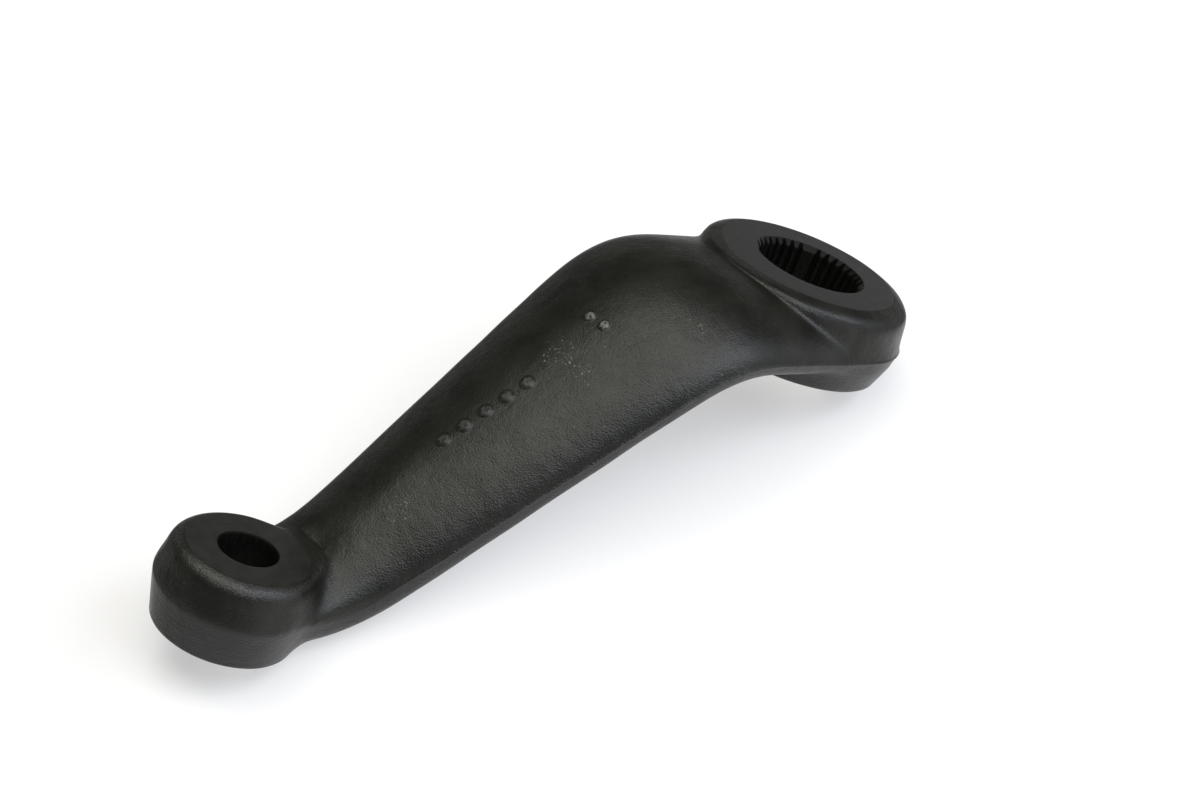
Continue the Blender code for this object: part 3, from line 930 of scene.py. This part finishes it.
def noise_node(tree, place, scale, detail=DETAIL):
    """Cloudy values about 0.5, with a scale in waves a millimetre."""
    node = tree.nodes.new("ShaderNodeTexNoise")
    plug(tree, node.inputs["Vector"], place)
    node.inputs["Scale"].default_value = scale
    node.inputs["Detail"].default_value = detail
    return node.outputs["Fac"]


def noted(tree, name, output="Fac"):
    """A value that note_places has kept on the mesh."""
    node = tree.nodes.new("ShaderNodeAttribute")
    node.attribute_name = name
    return node.outputs[output]


def stretched(tree, place, factors):
    """Place with each axis scaled, for streaks."""
    node = tree.nodes.new("ShaderNodeVectorMath")
    node.operation = "MULTIPLY"
    tree.links.new(place, node.inputs[0])
    node.inputs[1].default_value = factors
    return node.outputs["Vector"]


def colour_mix(tree, share, first, second):
    """Colour that goes from the first to the second with the share."""
    node = tree.nodes.new("ShaderNodeMix")
    node.data_type = "RGBA"
    plug(tree, node.inputs["Factor"], share)
    for socket, colour in zip((node.inputs[6], node.inputs[7]), (first, second)):
        plug(tree, socket, colour if isinstance(colour, bpy.types.NodeSocket) else (*colour, 1.0))
    return node.outputs[2]


def bump(tree, height, distance):
    """Normal of a relief whose full height is the distance, in metres."""
    node = tree.nodes.new("ShaderNodeBump")
    plug(tree, node.inputs["Height"], height)
    node.inputs["Distance"].default_value = distance
    node.inputs["Strength"].default_value = 1.0
    return node.outputs["Normal"]


def uneven_roughness(tree, unevenness, limits):
    """Roughness from its lower limit and what full unevenness adds to it."""
    lowest, added = limits
    return math_node(tree, "MULTIPLY_ADD", unevenness, added, lowest)


def coat_gloss(tree, shader, lower):
    """Gloss of the coating, which dies away at a low angle where the skin faces upwards."""
    weight = tree.nodes.new("ShaderNodeLayerWeight")
    weight.inputs["Blend"].default_value = 0.5
    squareness = tree.nodes.new("ShaderNodeMapRange")
    tree.links.new(weight.outputs["Facing"], squareness.inputs["Value"])
    squareness.inputs["From Min"].default_value = 1.0
    squareness.inputs["From Max"].default_value = GLOSS_FULL_AT
    fall = math_node(tree, "POWER", squareness.outputs["Result"], GLOSS_FALL)
    edge = math_node(tree, "MULTIPLY", ramp(tree, weight.outputs["Facing"], *EDGE_LIMITS), EDGE_GLOSS)
    fall = math_node(tree, "SUBTRACT", math_node(tree, "ADD", fall, edge), 1.0)
    kept = math_node(tree, "MULTIPLY_ADD", fall, noted(tree, "upward"), 1.0)
    level = math_node(tree, "MULTIPLY", kept, COAT_GLOSS)
    level = math_node(tree, "MULTIPLY_ADD", lower, LOWER_GLOSS, level)
    plug(tree, shader.inputs["Specular IOR Level"], level)


def chip_share(tree, place):
    """Patches of small chips in the coating, at the places listed in CHIPPED."""
    chips = ramp(tree, noise_node(tree, place, CHIP_WAVES, FINE_DETAIL), *CHIP_LIMITS)
    ragged = math_node(tree, "MULTIPLY", noise_node(tree, place, PATCH_EDGE_WAVES), PATCH_EDGE_DEPTH)
    total = 0.0
    for x, y, reach in CHIPPED:
        apart = tree.nodes.new("ShaderNodeVectorMath")
        apart.operation = "DISTANCE"
        tree.links.new(place, apart.inputs[0])
        apart.inputs[1].default_value = on_crown((x, y))
        uneven = math_node(tree, "ADD", apart.outputs["Value"], ragged)
        patch = ramp(tree, uneven, reach + PATCH_OUTSIDE, reach + PATCH_INSIDE)
        total = math_node(tree, "MAXIMUM", patch, total)
    strength = ramp(tree, noise_node(tree, place, CHIP_STRENGTH_WAVES), *CHIP_STRENGTH_LIMITS)
    return math_node(tree, "MULTIPLY", math_node(tree, "MULTIPLY", chips, total), strength)


def speck_share(tree, place):
    """Tiny light specks scattered thinly over the skin."""
    cells = tree.nodes.new("ShaderNodeTexVoronoi")
    tree.links.new(place, cells.inputs["Vector"])
    cells.inputs["Scale"].default_value = SPECK_WAVES
    centre = ramp(tree, cells.outputs["Distance"], *SPECK_EDGE)
    chosen = tree.nodes.new("ShaderNodeSeparateColor")
    tree.links.new(cells.outputs["Color"], chosen.inputs["Color"])
    return math_node(tree, "MULTIPLY", centre, ramp(tree, chosen.outputs["Red"], *SPECK_LIMITS))


def forged_finish():
    """Satin black over shot-blasted steel, worn on the small eye's rim and chipped in places; lighter on
    the lower walls, partly their own tone and partly painted floor bounce, and brighter on the pips' tops,
    partly wear and partly a painted glint.
    """
    material, tree, shader = new_material("forged_finish")
    place = noted(tree, "lever", "Vector")
    grain = noise_node(tree, place, GRAIN_WAVES)
    dents = noise_node(tree, place, DENT_WAVES)
    mottle = ramp(tree, noise_node(tree, place, MOTTLE_WAVES, FINE_DETAIL), *MOTTLE_LIMITS)
    streaks = noise_node(tree, stretched(tree, place, STREAK_WAVES), 1.0, FINE_DETAIL)
    lower = noted(tree, "lower_wall")
    rim = math_node(tree, "MULTIPLY", noted(tree, "rim"), ramp(tree, grain, *RIM_LIMITS))
    patchy = ramp(tree, noise_node(tree, place, RUBBING_WAVES, FINE_DETAIL), *RUBBING_LIMITS)
    rubbed_and_glint = math_node(tree, "MULTIPLY", noted(tree, "pip"), patchy)
    bare = math_node(tree, "MAXIMUM", chip_share(tree, place), speck_share(tree, place))
    coat = colour_mix(tree, mottle, COAT_DARK, COAT_LIGHT)
    # Lighter below the parting line: partly the walls' own tone, partly painted floor bounce
    coat = colour_mix(tree, math_node(tree, "MULTIPLY", lower, LOWER_TONE_AND_BOUNCE), coat, LOWER_WALL_TONE_AND_BOUNCE)
    coat = colour_mix(tree, math_node(tree, "MULTIPLY", rim, RIM_WEAR), coat, COAT_WORN)
    # Bare steel on the pips' tops: partly wear, partly a painted glint
    coat = colour_mix(tree, math_node(tree, "MULTIPLY", rubbed_and_glint, PIP_RUBBING_AND_GLINT), coat, BARE_STEEL)
    coat = colour_mix(tree, math_node(tree, "MULTIPLY", bare, CHIP_DEPTH), coat, BARE_STEEL)
    plug(tree, shader.inputs["Base Color"], coat)
    rough = uneven_roughness(tree, dents, FORGED_ROUGHNESS)
    plug(tree, shader.inputs["Roughness"], math_node(tree, "MULTIPLY_ADD", rim, -WORN_SMOOTHNESS, rough))
    coat_gloss(tree, shader, lower)
    relief = math_node(tree, "MULTIPLY_ADD", dents, DENT_RELIEF, grain)
    lined = math_node(tree, "MULTIPLY", streaks, lower)
    relief = math_node(tree, "MULTIPLY_ADD", lined, STREAK_RELIEF, relief)
    relief = math_node(tree, "MULTIPLY_ADD", bare, CHIP_RELIEF, relief)
    plug(tree, shader.inputs["Normal"], bump(tree, relief, GRAIN_HEIGHT))
    return material


def turning_radius(tree, place, centres=(0.0, SMALL_X)):
    """Distance in millimetres from the nearest of the eyes' axes given."""
    apart = []
    for centre_x in centres:
        flat = stretched(tree, place, (1.0, 1.0, 0.0))
        node = tree.nodes.new("ShaderNodeVectorMath")
        node.operation = "DISTANCE"
        tree.links.new(flat, node.inputs[0])
        node.inputs[1].default_value = (centre_x, 0.0, 0.0)
        apart.append(node.outputs["Value"])
    return math_node(tree, "MINIMUM", apart[0], apart[-1])


def machined_finish():
    """The same coating over faces with fine turning marks, painted darker on the big eye's face as shade.
    """
    material, tree, shader = new_material("machined_finish")
    place = noted(tree, "lever", "Vector")
    turned = tree.nodes.new("ShaderNodeTexNoise")
    turned.noise_dimensions = "1D"
    tree.links.new(turning_radius(tree, place), turned.inputs["W"])
    turned.inputs["Scale"].default_value = TURNING_WAVES
    turned.inputs["Detail"].default_value = DETAIL
    mottle = noise_node(tree, place, BLOTCH_WAVES, FINE_DETAIL)
    big_eye = ramp(tree, turning_radius(tree, place, [SMALL_X]), SMALL_WALL_R, EYE_SPACING / 2)
    blotch = ramp(tree, mottle, *BLOTCH_LIMITS)
    coat = colour_mix(tree, blotch, COAT_DARK, COAT_LIGHT)
    # Painted shade: the big eye's face takes the darker colours
    coat = colour_mix(tree, big_eye, coat, colour_mix(tree, blotch, BIG_FACE_SHADE_DARK, BIG_FACE_SHADE_LIGHT))
    plug(tree, shader.inputs["Base Color"], coat)
    plug(tree, shader.inputs["Roughness"], uneven_roughness(tree, mottle, MACHINED_ROUGHNESS))
    change = BIG_FACE_GLOSS - SMALL_FACE_GLOSS
    gloss = math_node(tree, "MULTIPLY_ADD", big_eye, change, SMALL_FACE_GLOSS)
    plug(tree, shader.inputs["Specular IOR Level"], gloss)
    grain = noise_node(tree, place, GRAIN_WAVES)
    relief = math_node(tree, "MULTIPLY_ADD", grain, FACE_GRAIN_RELIEF, turned.outputs["Fac"])
    plug(tree, shader.inputs["Normal"], bump(tree, relief, TURNING_HEIGHT))
    return material


def bored_finish():
    """The coating painted darker in the bores as their shade, with fine lines along their depth."""
    material, tree, shader = new_material("bored_finish")
    place = noted(tree, "lever", "Vector")
    lines = noise_node(tree, stretched(tree, place, BORE_LINE_WAVES), 1.0)
    # Painted shade: the bores take darker colours than the skin
    coat = colour_mix(tree, ramp(tree, lines, *BLOTCH_LIMITS), BORE_SHADE_DARK, BORE_SHADE_LIGHT)
    plug(tree, shader.inputs["Base Color"], coat)
    plug(tree, shader.inputs["Roughness"], uneven_roughness(tree, lines, BORED_ROUGHNESS))
    shader.inputs["Specular IOR Level"].default_value = BORE_GLOSS
    plug(tree, shader.inputs["Normal"], bump(tree, lines, TURNING_HEIGHT))
    return material


def build_arm():
    """The one piece, which takes the place of the solid's looks."""
    bm = arm_mesh()
    lay_down(bm)
    mesh = bpy.data.meshes.new("arm_body")
    bm.to_mesh(mesh)
    bm.free()
    mesh.shade_smooth()
    mesh.set_sharp_from_angle(angle=SHARP_ANGLE)
    arm = bpy.data.objects.new("arm_body", mesh)
    bpy.context.scene.collection.objects.link(arm)
    for finish in (forged_finish(), machined_finish(), bored_finish()):
        arm.data.materials.append(finish)
    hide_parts("pitman_arm")
    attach(arm, "root")


def floor_finish():
    """White paper that shows its soft shadows, with a glow of its own that fades further out."""
    material = bpy.data.materials.new("floor_finish")
    material.use_nodes = True
    tree = material.node_tree
    tree.nodes.remove(tree.nodes["Principled BSDF"])
    paper = tree.nodes.new("ShaderNodeBsdfDiffuse")
    paper.inputs["Color"].default_value = PAPER
    glow = tree.nodes.new("ShaderNodeEmission")
    place = tree.nodes.new("ShaderNodeNewGeometry")
    apart = tree.nodes.new("ShaderNodeVectorMath")
    apart.operation = "LENGTH"
    tree.links.new(place.outputs["Position"], apart.inputs[0])
    fade = tree.nodes.new("ShaderNodeMapRange")
    fade.interpolation_type = "SMOOTHSTEP"
    tree.links.new(apart.outputs["Value"], fade.inputs["Value"])
    fade.inputs["From Min"].default_value = GLOW_NEAR
    fade.inputs["From Max"].default_value = GLOW_FAR
    fade.inputs["To Min"].default_value = GLOW_INSIDE
    fade.inputs["To Max"].default_value = GLOW_OUTSIDE
    rays = tree.nodes.new("ShaderNodeLightPath").outputs
    seen = math_node(tree, "MAXIMUM", rays["Is Camera Ray"], rays["Is Glossy Ray"])
    seen = math_node(tree, "MAXIMUM", seen, rays["Is Transmission Ray"])
    mix = tree.nodes.new("ShaderNodeMixShader")
    tree.links.new(math_node(tree, "MULTIPLY", seen, fade.outputs["Result"]), mix.inputs["Fac"])
    tree.links.new(paper.outputs["BSDF"], mix.inputs[1])
    tree.links.new(glow.outputs["Emission"], mix.inputs[2])
    tree.links.new(mix.outputs["Shader"], tree.nodes["Material Output"].inputs["Surface"])
    return material


def build_floor():
    """The sheet of paper that the lever lies on."""
    bm = bmesh.new()
    bmesh.ops.create_grid(bm, x_segments=1, y_segments=1, size=FLOOR_REACH)
    mesh = bpy.data.meshes.new("floor")
    bm.to_mesh(mesh)
    bm.free()
    floor = bpy.data.objects.new("floor", mesh)
    bpy.context.scene.collection.objects.link(floor)
    floor.data.materials.append(floor_finish())


def area_light(name, colour, azimuth, elevation, size, radiance):
    """Soft light that faces the object from the side and the height given in degrees."""
    light = bpy.data.lights.new(name, "AREA")
    light.shape = "RECTANGLE"
    light.size, light.size_y = size
    light.color = colour
    light.energy = radiance * size[0] * size[1] * math.pi
    lamp = bpy.data.objects.new(name, light)
    bpy.context.scene.collection.objects.link(lamp)
    turn = math.radians(azimuth)
    rise = math.radians(elevation)
    towards = Vector((math.cos(rise) * math.cos(turn), math.cos(rise) * math.sin(turn), math.sin(rise)))
    lamp.location = towards * LIGHT_DISTANCE
    lamp.rotation_euler = towards.to_track_quat("Z", "Y").to_euler()


def build_light():
    """A long softbox overhead, across the lever, and two cooler panels towards the lever's front."""
    for light in LIGHTS:
        area_light(*light)
    world = bpy.data.worlds.new("studio")
    world.use_nodes = True
    background = world.node_tree.nodes["Background"]
    background.inputs["Color"].default_value = (1.0, 1.0, 1.0, 1.0)
    background.inputs["Strength"].default_value = STUDIO_STRENGTH
    bpy.context.scene.world = world


def build_camera():
    """The photograph's camera."""
    camera = bpy.data.cameras.new("camera")
    camera.lens = LENS
    camera.sensor_width = SENSOR
    obj = bpy.data.objects.new("camera", camera)
    bpy.context.scene.collection.objects.link(obj)
    obj.location = CAMERA_AT
    obj.rotation_euler = (math.radians(90.0 - CAMERA_ELEVATION), 0.0, math.radians(CAMERA_AZIMUTH))
    bpy.context.scene.camera = obj


build_camera()
build_light()
build_floor()
build_arm()
bpy.context.scene.view_settings.view_transform = "Standard"
